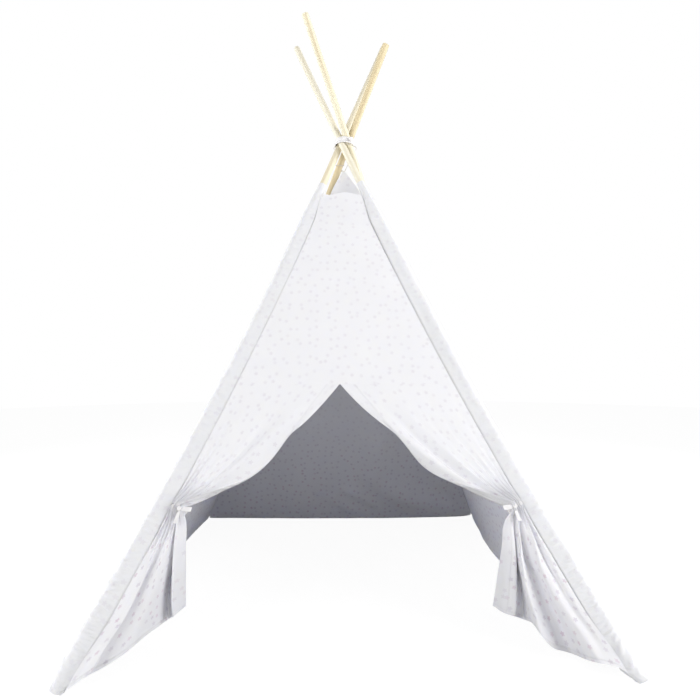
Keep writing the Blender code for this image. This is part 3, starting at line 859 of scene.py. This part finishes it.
def halves(name, node, carrier, wall, columns, rows, place, flat, trim=far_from_edges):
    """One cloth in two halves that meet at its middle, so that each goes with its own pole."""
    for pole, title, start in ((wall.left, "_left_half", 0), (wall.right, "_right_half", 0.5)):
        maps = (lambda u, v, whole=whole: whole(start + u / 2, v) for whole in (place, flat, trim))
        piece = cloth(name + title, columns // 2, rows, *maps, wall.normal(middle_drop))
        if pole is carrier:
            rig.replaces(piece, node)
        fold_with(piece, wall, pole)
        declare_cloth(piece, "hung", [pole.corner + "_rod"])


def seam_puckers(u, drop, width, seed):
    """Small puckers that run in from the seams beside the sleeves."""
    near = min(u, 1 - u) * width
    depth = pucker_depth * rough(drop * 55, 0, seed + (u > 0.5), 2)
    return depth * exp(-near / pucker_reach) * min(1, near / pucker_start)


# Reach and rise in mm, and the line of each fold
back_folds = (
    (52, -20, ((-0.15, 1.22), (-0.128, 1.40), (-0.187, 1.48), (-0.281, 1.538), (-0.554, 1.626))),
    (70, 16, ((-0.33, 1.30), (-0.40, 1.48), (-0.50, 1.57))),
    (13, -7, ((-0.008, 1.485), (-0.154, 1.573))),
    (18, -7, ((0.10, 1.50), (-0.05, 1.60))),
)


def off_line(x, y, line):
    """Distance from a place on the cloth to a line drawn on it."""
    best = 9
    for (ax, ay), (bx, by) in zip(line, line[1:]):
        along = ((x - ax) * (bx - ax) + (y - ay) * (by - ay)) / ((bx - ax) ** 2 + (by - ay) ** 2)
        along = min(max(along, 0), 1)
        best = min(best, hypot(x - ax - (bx - ax) * along, y - ay - (by - ay) * along))
    return best


def back_wall_folds(x, drop):
    """Soft folds that hang from the middle of the back wall towards its foot."""
    return sum(
        rise / 1000 * exp(-((off_line(x, drop, line) * 1000 / reach) ** 2))
        for reach, rise, line in back_folds
    )


def plain_wall(name, left, right, carrier, tip=False):
    wall = Wall(left, right)
    hem_drop = wall.left.drop_at(wall_hem_lift)
    seed = len(name) * 1.7
    rows, tip_rows = 90, 10 if tip else 0
    total = rows + tip_rows

    def drop_of(v):
        row = v * total
        if row <= rows:
            return hem_drop + (wall_top_drop - hem_drop) * row / rows
        return wall_top_drop + (wall_tip_drop - wall_top_drop) * (row - rows) / tip_rows

    def place(u, v):
        drop = drop_of(v)
        if v * total <= rows:
            share = v * total / rows
            point = wall.place(u, drop, wall_sag * sin(pi * share))
            inward = wall.normal(drop)
            inward = (UP * inward.z - inward).normalized()
            bow = sin(pi * u ** (0.6 if tip else 1)) * wall_hem_bow[name]
            point += inward * bow * (1 - share) ** 3
            width = wall.width(drop)
            free = min(1, min(u, 1 - u) * width / 0.08)
            x = (u - 0.5) * width
            lift = wall_lump * rough(x * 3.2, drop * 2.6, seed)
            lift += wall_ripple * rough(x * 11, drop * 7, seed + 2)
            if tip:
                lift += back_wall_folds(x, drop)
            point += wall.normal(drop) * (lift * free + seam_puckers(u, drop, width, seed))
            hem = max(0, 1 - share * 12)
            point += UP * (hem_wave * rough(x * 14, 0, seed + 4, 2) - hem_dip) * hem * free
            point.z = max(point.z, lowest_hem)
            return point
        share = (v * total - rows) / tip_rows
        base = wall.place(u, wall_top_drop)
        middle = wall.place(0.5, wall_tip_drop)
        across = wall.across(wall_top_drop).normalized()
        corner = middle + across * ((u - 0.5) * wall_tip_width + wall_tip_shift)
        full = across * (u - 0.5) * tip_fullness * sin(pi * share)
        return base.lerp(corner, share) + full

    def flat(u, v):
        drop = drop_of(v)
        if v * total <= rows:
            return wall.flat(u, drop)
        share = (v * total - rows) / tip_rows
        width = wall.width(wall_top_drop) * (1 - share) + wall_tip_width * share
        return (u - 0.5) * width, -drop * slope_share

    def trim(u, v):
        return 1, (hem_drop - drop_of(v)) * slope_share

    halves(name + "_cloth", name, poles[carrier], wall, 96, total, place, flat, trim)


front = Wall("front_left", "front_right")


def front_panel():
    """The front above the door, smooth and nearly flat, its top edge raised in a low arch."""
    low = front.left.drop_at(door_peak_height)

    def drop_of(v):
        return low + (wall_top_drop - low) * v

    def place(u, v):
        drop = drop_of(v)
        width = front.width(drop)
        x = (u - 0.5) * width
        free = min(1, min(u, 1 - u) * width / 0.06) * smooth_share(v * 8)
        lift = panel_lump * rough(x * 5, drop * 4, 3.1) * free
        lift += seam_puckers(u, drop, width, 8.8) * smooth_share(v * 8)
        across = min(max((u - 0.24) / 0.66, 0), 1)
        arch = panel_arch * sin(pi * across) + panel_rise * max(0, 1 - u / 0.2)
        rise = arch * max(0, v * 10 - 9) ** 2
        return front.place(u, drop - rise) + front.normal(drop) * lift

    def flat(u, v):
        return front.flat(u, drop_of(v))

    halves("front_panel_cloth", "front_panel", front.left, front, 96, 76, place, flat)


# Door curtains. Each fold line runs from the tie-back to the hem. At the tie, half way and at the
# hem it has a place, in hundredths of the way from the sleeve to the free edge, and a depth in mm.
fold_lines = {
    "left": (
        (0, 0, 0, 0, 0, 0),
        (6, 5, 10, 3, 7, 4),
        (12, -5, 20, 8, 14, 10),
        (18, 5, 27, 11, 19, 13),
        (24, -5, 21, 2, 13, 2),
        (30, 5, 26, -3, 18, -3),
        (36, -5, 35, 2, 30, 5),
        (42, 5, 43, 5, 42, 11),
        (48, -5, 50, 7, 52, 12),
        (54, 5, 58, 4, 62, 5),
        (56, -5, 66, -6, 72, -8),
        (58, 3, 74, -20, 82, -26),
        (60, -5, 80, -34, 90, -46),
        (62, 0, 80, -16, 92, -22),
        (60, 6, 74, 7, 87, 8),
        (80, 7, 87, 8, 94, 8),
        (100, 0, 100, 4, 100, 3),
    ),
    "right": (
        (0, 0, 0, 0, 0, 0),
        (6, 5, 10, 3, 6, 4),
        (12, -5, 20, -5, 12, 10),
        (18, 5, 28, 9, 19, 16),
        (24, -5, 37, 14, 26, 6),
        (30, 5, 43, -3, 32, -16),
        (36, -5, 49, -19, 39, -30),
        (42, 5, 56, -15, 46, -20),
        (48, -5, 62, 6, 53, 6),
        (54, 5, 67, 14, 60, 20),
        (60, -5, 72, 0, 67, 10),
        (66, 5, 74, -16, 72, -16),
        (70, -5, 76, -28, 78, -40),
        (72, 0, 77, -12, 83, -22),
        (71, 6, 74, 7, 82, 6),
        (85, 7, 87, 10, 91, 12),
        (100, 0, 100, 6, 100, 5),
    ),
}
swag_folds = {
    "left": (0, 0, 0, 0, 0, 1, 1, 0, -1, -2, -4, 1, 8, 10, 4, -4, 0),
    "right": (0, 0, 0, 1, 1, 0, -1, 0, 1, 2, 4, 7, 0, -5, 4, 8, -8),
}
free_corner = {"left": (-0.382, -0.468, 0.104), "right": (0.345, -0.455, 0.092)}
hem_lift = {
    "left": (0, 3, 8, 10, 3, -2, -3, -1, 3, 3, -4, -14, -26, -13, 5, 8, 7),
    "right": (9, 12, 10, 6, -5, -20, -30, -30, -21, 0, 11, -2, -17, -11, 3, 1, 0),
}
edge_flare = {"left": 0.008, "right": 0.017}
tie_shift = (0.010, 0.005)
swag_end, tie_v, fall_start = 0.50, 0.52, 0.54
pleat_count = 19
pleat_depth = 0.0102
roll_start = 0.74
roll_depth = 0.030
edge_sag = 0.046


class Curtain:
    """One half of the door, drawn aside to its tie-back and hanging below it."""

    def __init__(self, side):
        self.side = side
        self.is_left = side == "left"
        self.pole = front.left if self.is_left else front.right
        self.top_drop = self.pole.drop_at(door_peak_height)
        self.tie_drop = self.pole.drop_at(tie_back_height)
        self.hem_drop = self.pole.drop_at(wall_hem_lift)
        self.hand = -1 if self.is_left else 1
        self.corner = Vector(free_corner[side])
        shift = door_peak_shift + self.hand * door_split_gap / 2
        self.peak_place = 0.5 + shift / front.width(self.top_drop)
        self.down = self.pole.tangent(self.tie_drop)
        self.across = (self.seam(self.tie_drop) - self.pole.point(self.tie_drop)).normalized()
        self.out = self.across.cross(self.down) * self.hand
        line = self.corner - self.seam(self.hem_drop)
        self.level = Vector((line.y, -line.x, 0)).normalized() * -self.hand
        start = sleeve_radius_at(self.tie_drop) + bundle_gap
        self.middle = self.pole.point(self.tie_drop) + self.down * tie_shift[1]
        self.middle += self.across * (start + bundle_width / 2 + tie_shift[0])
        self.lines = [
            [Vector((line[i] / 100, line[i + 1])) for i in (0, 2, 4)] for line in fold_lines[side]
        ]
        self.knots = self.spacing()

    def spacing(self):
        """Where each fold line lies in the flat cloth, by the lengths between them at the hem."""
        reach = (self.corner - self.seam(self.hem_drop)).length
        places = [0]
        for before, after in zip(self.lines, self.lines[1:]):
            step = after[2] - before[2]
            places.append(places[-1] + hypot(step.x * reach, step.y / 1000))
        self.hem_width = places[-1]
        return [place / places[-1] for place in places]

    def knot_share(self, u):
        """The share of the fold lines that lie before a place in the flat cloth."""
        last = len(self.knots) - 1
        i = next((i for i in range(last) if u <= self.knots[i + 1]), last - 1)
        return (i + (u - self.knots[i]) / (self.knots[i + 1] - self.knots[i])) / last

    def seam(self, drop):
        return front.edge(self.is_left, drop)

    def outward(self, share):
        """The way the folds stand out: square to the gathered cloth, and level at the hem."""
        return self.out.lerp(self.level, smooth_share(share * 1.3)).normalized()

    def fold(self, u, stop):
        """Place between the sleeve and the free edge, and depth, at one of the three stops."""
        return between([line[stop] for line in self.lines], self.knot_share(u))

    def bundle(self, u, run):
        found = self.fold(u, 0)
        wide = self.across * (found.x - 0.5) * bundle_width
        return self.middle + wide + self.out * found.y / 1000 + self.down * run

    def pleats(self, u, v):
        """Fine pleats that run out from the tie-back, pinched where the ribbon holds them, and
        further up where the rolled edge hides them."""
        hidden = smooth_share((u - 0.80) / 0.08) if v < tie_v else 0
        away = (tie_v - v) / (0.15 + 0.20 * hidden) if v < tie_v else (v - tie_v) / 0.12
        calm = smooth_share(1 - away) ** 2 * min(1, u * 12, (1 - u) * 12) * (1 + 0.6 * hidden)
        pinch = 1 - 0.45 * exp(-(((v - tie_v) / 0.010) ** 2))
        wave = sin(tau * pleat_count * u + 0.7 * sin(9 * u))
        return self.out * pleat_depth * calm * pinch * wave

    def top(self, u):
        """Where the curtain leaves the panel above it."""
        place = self.peak_place * u if self.is_left else 1 - (1 - self.peak_place) * u
        return front.place(place, self.top_drop)

    def tucked(self, u, share):
        """The free edge rolls back behind the swag: the place shown and how far behind it lies."""
        t = max(0, (u - roll_start) / (1 - roll_start))
        place = min(u, roll_start) * 1.22 + 0.095 * sin(pi * min(1, t * 1.1))
        place -= 0.075 * max(0, t - 0.45) * 1.8
        rolled = smooth_share(share * 1.5) * (1 - 0.75 * smooth_share(share * 2 - 1))
        return u + (min(place, 1.0) - u) * rolled, roll_depth * smooth_share(t * 1.05) * rolled

    def swag(self, u, share):
        u, behind = self.tucked(u, share)
        start = self.top(u)
        end = self.bundle(u, -bundle_run / 2)
        normal = front.normal(self.top_drop)
        sag = -UP * edge_sag * u**2
        inward = normal * sag.dot(normal)
        middle = start.lerp(end, 0.5) + 2 * (sag - inward)
        point = start.lerp(middle, share).lerp(middle.lerp(end, share), share)
        point += inward * share**2 * (1 - share) * 6.75
        drop = self.top_drop + (self.tie_drop - self.top_drop) * share
        pull = self.seam(drop) - self.seam(self.top_drop).lerp(self.seam(self.tie_drop), share)
        fold = between(swag_folds[self.side], self.knot_share(u)) * sin(pi * share**1.2)
        calmed = self.fold(u, 0).y * (share - share**4)
        return point + pull * (1 - u) + self.out * ((fold - calmed) / 1000 - behind)

    def fall(self, u, share):
        tie, waist, hem = (self.fold(u, stop) for stop in range(3))
        if share < 0.4:
            found = tie.lerp(waist, smooth_share(share / 0.4) * 0.5 + share / 0.8)
        else:
            found = waist.lerp(hem, (share - 0.4) / 0.6)
        first = self.tie_drop + bundle_run / 2
        near = self.seam(first + (self.hem_drop - first) * share)
        far = self.bundle(1, bundle_run / 2).lerp(self.corner, share)
        flare = edge_flare[self.side] * min(1, share / 0.10) * (1 - share) ** 2
        far -= Vector((self.hand, 0, 0)) * flare
        point = near.lerp(far, found.x) + self.outward(share) * found.y / 1000
        point += UP * between(hem_lift[self.side], self.knot_share(u)) / 1000 * share**2
        return self.bundle(u, bundle_run / 2).lerp(point, min(1, share * 6))

    def place(self, u, v):
        if v <= swag_end:
            point = self.swag(u, v / swag_end)
        elif v >= fall_start:
            point = self.fall(u, (v - fall_start) / (1 - fall_start))
        else:
            point = self.bundle(u, bundle_run * (v - tie_v) / (fall_start - swag_end))
        point += self.pleats(u, v)
        calm = min(1, abs(v - tie_v) / 0.05) * smooth_share(v * 10) * min(1, u * 8)
        wave = 0.0011 * rough(u * 9, v * 5, self.hand * 2.7, 3)
        return point + self.out * wave * calm

    def cut_width(self, y):
        """The cut is as wide as the half door at its top, and slants to the hem's width."""
        top, hem = self.top_drop * slope_share, self.hem_drop * slope_share
        down = (y - top) / (hem - top)
        return front.width(self.top_drop) / 2 * (1 - down) + self.hem_width * down

    def flat(self, u, v):
        drops = (self.top_drop, self.tie_drop, self.hem_drop)
        top, tie, hem = (drop * slope_share for drop in drops)
        tie += (hem - top) * 0.20 * u
        if v <= tie_v:
            y = top + (tie - top) * v / tie_v
        else:
            y = tie + (hem - tie) * (v - tie_v) / (1 - tie_v)
        outer = front.width(y / slope_share) / 2
        return self.hand * (outer - u * self.cut_width(y)), -y

    def trim(self, u, v):
        y = -self.flat(u, v)[1]
        return (1 - u) * self.cut_width(y), self.hem_drop * slope_share - y


def door_curtain(side):
    curtain = Curtain(side)
    place, flat, trim = curtain.place, curtain.flat, curtain.trim
    piece = cloth(side + "_curtain_cloth", 200, 120, place, flat, trim, Vector((0, -1, 0.3)))
    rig.replaces(piece, side + "_door_curtain")
    fold_with(piece, front, curtain.pole)
    declare_cloth(piece, "gathered", ["front_%s_rod" % side])
    return curtain


def ribbon_strip(name, points, widths, face, thickness):
    """A flat ribbon through points, with its width across the given face direction."""
    rows = len(points) - 1

    def place(u, v):
        i = round(v * rows)
        before, after = points[max(0, i - 1)], points[min(rows, i + 1)]
        across = face.cross((after - before).normalized()).normalized()
        return points[i] + across * (u - 0.5) * widths[i]

    length = route_length(points)
    bm = grid(6, rows, place, lambda u, v: (u * max(widths), v * length))
    face_towards(bm, face)
    made = piece_of(name, bm, tape, "cotton_tape")
    thicken(made, thickness)
    return made


def knot(name, middle, axes, sizes, seed):
    """A pulled-tight knot: a rounded lump creased by the turns of its tape."""
    bm = bmesh.new()
    bmesh.ops.create_icosphere(bm, subdivisions=4, radius=1)
    for corner in bm.verts:
        p = corner.co.copy()
        crease = 0.10 * sin(5.2 * p.x + 3.1 * p.y + seed)
        crease += 0.08 * rough(p.x * 1.8, p.y * 1.8, seed)
        corner.co = p * (0.94 + crease * 0.8)
    turn = Matrix(axes).transposed().to_4x4()
    size = Matrix.Diagonal((*(s / 2 for s in sizes), 1))
    bmesh.ops.transform(bm, matrix=Matrix.Translation(middle) @ turn @ size, verts=bm.verts)
    return piece_of(name, bm, tape, "cotton_tape", 60)


def tie_back(curtain):
    side = curtain.side
    across, deep = bundle_width + loop_slack[0], bundle_depth + loop_slack[1]
    straight = (across - deep) / 2

    def loop_place(u, v):
        angle = tau * u
        x = straight * max(-1, min(1, cos(angle) * 3)) + deep / 2 * cos(angle)
        pull = 0.0012 * sin(3 * angle + v * 2)
        crease = 0.0010 * cos(6 * pi * v)
        wide = curtain.across * x + curtain.out * (deep / 2 + crease) * sin(angle)
        return curtain.middle + wide + curtain.down * ((v - 0.5) * ribbon_width * 0.55 + pull)

    def loop_flat(u, v):
        return u * 2 * (across + deep / 2), v * ribbon_width

    bm = tube(64, 6, loop_place, loop_flat)
    loop = piece_of(side + "_tie_loop", bm, tape, "cotton_tape")
    thicken(loop, ribbon_thickness, 1)
    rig.replaces(loop, side + "_tie_back_loop")

    face = curtain.middle + curtain.across * 0.011 + curtain.out * (deep / 2 + 0.0010)
    first = curtain.down * 0.98 + curtain.across * 0.21
    second = curtain.across * 0.98 - curtain.down * 0.21
    points = []
    for i in range(13):
        run = (i - 6) / 6
        along = first if run < 0 else second
        lift = 0.0006 + 0.0030 * abs(run) ** 1.5 + 0.0012 * sin(abs(run) * 5)
        points.append(face + along.normalized() * abs(run) * tail_length + curtain.out * lift)
    widths = [tail_width - tail_waist * exp(-(((i - 6) / 1.6) ** 2)) for i in range(13)]
    ends = ribbon_strip(side + "_tie_ends", points, widths, curtain.out, tail_thickness)
    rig.replaces(ends, side + "_tie_back_ends")
    middle = face + curtain.out * 0.0045
    axes = (curtain.across, curtain.down, curtain.across.cross(curtain.down))
    lump = knot(side + "_tie_knot", middle, axes, tie_knot_size, 1.1 + curtain.hand)
    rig.replaces(lump, side + "_tie_back_knot")
    for piece in (loop, ends, lump):
        fold_with(piece, front, curtain.pole)
    for piece in (loop, ends):
        declare_cloth(piece, "gathered", [side + "_curtain_cloth"])


# Lashing


def band():
    """Two turns of wide tape round the crossing."""
    low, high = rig.box("tie_band")
    radius = (high.x - low.x) / 2

    def place(u, v):
        angle = tau * u
        tuck = 0.0010 * sin(4 * pi * v)
        tuck += 0.0005 * rough(cos(angle) * 3, v * 4, sin(angle) * 3)
        slip = 0.0016 * sin(angle + 0.6) + 0.0012 * sin(2 * angle)
        out = radius - band_inset + tuck
        rise = (v - 0.5) * band_height + slip * (0.5 - abs(v - 0.5))
        return Vector((cos(angle) * out, sin(angle) * out, crossing_height + rise))

    bm = tube(96, 14, place, lambda u, v: (u * tau * radius, v * 0.02))
    piece = piece_of("lashing_band", bm, tape, "cotton_tape")
    thicken(piece, band_thickness)
    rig.replaces(piece, "tie_band")
    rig.ride(piece, "lashing")
    declare_cloth(piece, "stretched", ["front_left_rod", "back_right_rod"])

    low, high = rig.box("tie_band_knot")
    middle = (low + high) / 2
    out = Vector((middle.x, middle.y, 0)).normalized()
    lump = knot("lashing_knot", middle, (out, UP.cross(out), UP), band_knot_size, 4.4)
    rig.replaces(lump, "tie_band_knot")
    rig.ride(lump, "lashing")


def smooth_route(route):
    ends = [2 * route[0] - route[1]] + route + [2 * route[-1] - route[-2]]
    found = []
    for a, b, c, d in zip(ends, ends[1:], ends[2:], ends[3:]):
        count = max(2, round((c - b).length / string_step))
        found += [curve(a, b, c, d, i / count) for i in range(count)]
    return found + [route[-1]]


def twine(name, points, start, replaced, body):
    """A thin two-ply string: a tube whose skin twists round it."""
    rows = len(points) - 1

    def place(u, v):
        i = round(v * rows)
        axis = (points[min(rows, i + 1)] - points[max(0, i - 1)]).normalized()
        side = square_to(axis, start).normalized()
        turn = tau * (u + i * string_step / string_girth)
        ply = string_radius * (1 + 0.16 * cos(4 * pi * u))
        return points[i] + (side * cos(turn) + axis.cross(side) * sin(turn)) * ply

    def flat(u, v):
        return u * string_girth, v * rows * string_step

    bm = tube(10, rows, place, flat, any_height)
    piece = piece_of(name, bm, string, "cotton_tape", 60)
    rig.replaces(piece, replaced)
    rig.ride(piece, body)
    return piece


def lashing_end(side):
    angle = radians(string_end_degrees[side])
    out = Vector((cos(angle), sin(angle), 0))
    start = out * string_start_reach + UP * (crossing_height - string_start_drop)
    route = smooth_route([start] + [start + Vector(step) for step in string_end_run[side]])
    name, replaced = "lashing_string_" + side, "lashing_cord_%s_end" % side
    return twine(name, route, out, replaced, "lashing"), route


def tip_wrap():
    """The turns of string on the back left pole, from which the tip's tie hangs."""
    pole = poles["back_left"]
    reach = pole_radius + touch_gap + string_radius
    points = []
    for i in range(wrap_steps + 1):
        drop = wrap_drop + wrap_length * i / wrap_steps
        angle = radians(wrap_start_degrees) + tau * wrap_turns * i / wrap_steps
        points.append(pole.around(drop, -angle, reach))
    twine("tip_string_wrap", points, pole.tangent(wrap_drop), "tip_cord_wrap", pole.body)


def tip_tie():
    """The string from one back pole down to the wall's tip and up to the other back pole."""
    wall = Wall("back_right", "back_left")
    across = wall.across(wall_top_drop).normalized()
    outward = wall.normal(wall_tip_drop)
    tip = wall.place(0.5, wall_tip_drop) + across * wall_tip_shift
    rise = outward.cross(across)
    low = tip + rise * (touch_gap + string_radius)
    ends = []
    wrap_end = wrap_drop + wrap_length
    starts = ((wall.left, tip_tie_drop, 0), (wall.right, wrap_end, 2 * string_radius))
    for pole, drop, grow in starts:
        toward = square_to(pole.tangent(drop), low - pole.point(drop)).normalized()
        reach = pole_radius + touch_gap + string_radius + grow + touch_gap
        ends.append(pole.point(drop) + toward * reach)
    turns = map(radians, (-80, -40, 0, 40, 80))
    loop = [low + (rise * (1 - cos(t)) + across * sin(t)) * tip_tie_bend for t in turns]
    route = smooth_route([ends[0]] + loop + [ends[1]])
    piece = twine("tip_string", route, outward, "tip_cord", wall.left.body)
    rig.squash(piece, wall.left.joint, axis=across, anchor=ends[0], keep=gathered_share)
    return piece, route


def declare_string(piece, route, far_end):
    length = route_length(route)
    diameter = 2 * string_radius
    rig.cord(piece, route[0], length, diameter, far_end, "limp", "hanging", path=route)


# Stage


camera_place = (-0.042, -1.655, 0.658)
camera_degrees = (2.08, 2.24, 0.1)
camera_lens, camera_sensor = 25.48, 36

# Name, place, aim, size and power
lamps = (
    ("key", (2.5, -2.1, 1.6), (0, 0, 0.6), 1.8, 67),
    ("fill", (-2.5, -2.2, 1.4), (0, 0, 0.6), 2.0, 50),
    ("left", (-2.8, 0.6, 1.3), (0, 0, 0.5), 1.4, 46),
    ("right", (2.8, 0.6, 1.3), (0, 0, 0.5), 1.4, 46),
    ("tip", (0.55, -0.75, 1.9), (0, 0.05, 1.33), 0.3, 1.3),
)


def area_lamp(name, place, aim, size, power):
    data = bpy.data.lights.new(name, "AREA")
    data.energy = power
    data.size = size
    lamp = bpy.data.objects.new(name, data)
    bpy.context.scene.collection.objects.link(lamp)
    lamp.location = place
    lamp.rotation_euler = (Vector(aim) - Vector(place)).to_track_quat("-Z", "Y").to_euler()


def stage():
    scene = bpy.context.scene
    scene.view_settings.view_transform = "Standard"
    camera = bpy.data.objects.new("camera", bpy.data.cameras.new("camera"))
    scene.collection.objects.link(camera)
    yaw, pitch, roll = map(radians, camera_degrees)
    camera.rotation_euler = (pi / 2 + pitch, roll, -yaw)
    camera.location = camera_place
    camera.data.lens, camera.data.sensor_width = camera_lens, camera_sensor
    camera.data.clip_end = 40
    scene.camera = camera

    scene.world = bpy.data.worlds.new("studio")
    sky = Nodes(scene.world)
    level = sky.node("MapRange", Value=sky.seen_direct(), **{"To Min": 0.30, "To Max": 1.0})
    back = sky.tree.nodes["Background"]
    sky.put(back, "Color", (1, 1, 1, 1))
    sky.put(back, "Strength", level.outputs[0])

    bm = bmesh.new()
    bmesh.ops.create_circle(bm, cap_ends=True, segments=64, radius=9)
    mesh = bpy.data.meshes.new("floor")
    bm.to_mesh(mesh)
    bm.free()
    floor = bpy.data.objects.new("floor", mesh)
    scene.collection.objects.link(floor)
    finish = Finish("pale_floor")
    finish.levels({"Base Color": (0.82, 0.82, 0.82, 1), "Roughness": 1, "Specular IOR Level": 0})
    glow = finish.node("Emission", Color=(1, 1, 1, 1), Strength=1.11)
    share = finish.product(finish.seen_direct(), 0.85)
    both = finish.node("MixShader", i0=share, i1=finish.shader.outputs[0], i2=glow.outputs[0])
    finish.put(finish.tree.nodes["Material Output"], "Surface", both.outputs[0])
    mesh.materials.append(finish.made)
    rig.stage(floor)

    for lamp in lamps:
        area_lamp(*lamp)


def main():
    stage()
    for corner in corners:
        rod(corner)
        sleeve(corner)
        frame["nodes"][corner + "_ferrule"].data.materials[0] = steel
        frame["nodes"][corner + "_pole_lower"].data.materials[0] = pine[corner]
    piece, route = lashing_end("right")
    declare_string(piece, route, "knot")
    lashing_end("left")
    piece, route = tip_tie()
    declare_string(piece, route, "object")
    tip_wrap()
    band()
    plain_wall("right_wall", "front_right", "back_right", "back_right")
    plain_wall("back_wall", "back_right", "back_left", "back_right", tip=True)
    plain_wall("left_wall", "back_left", "front_left", "back_left")
    front_panel()
    for side in ("left", "right"):
        tie_back(door_curtain(side))


main()
size = {"cad": [list(corner) for corner in cad_box], "visual": [list(corner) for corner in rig.bounds()]}
json.dump(size, open("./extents.json", "w"))
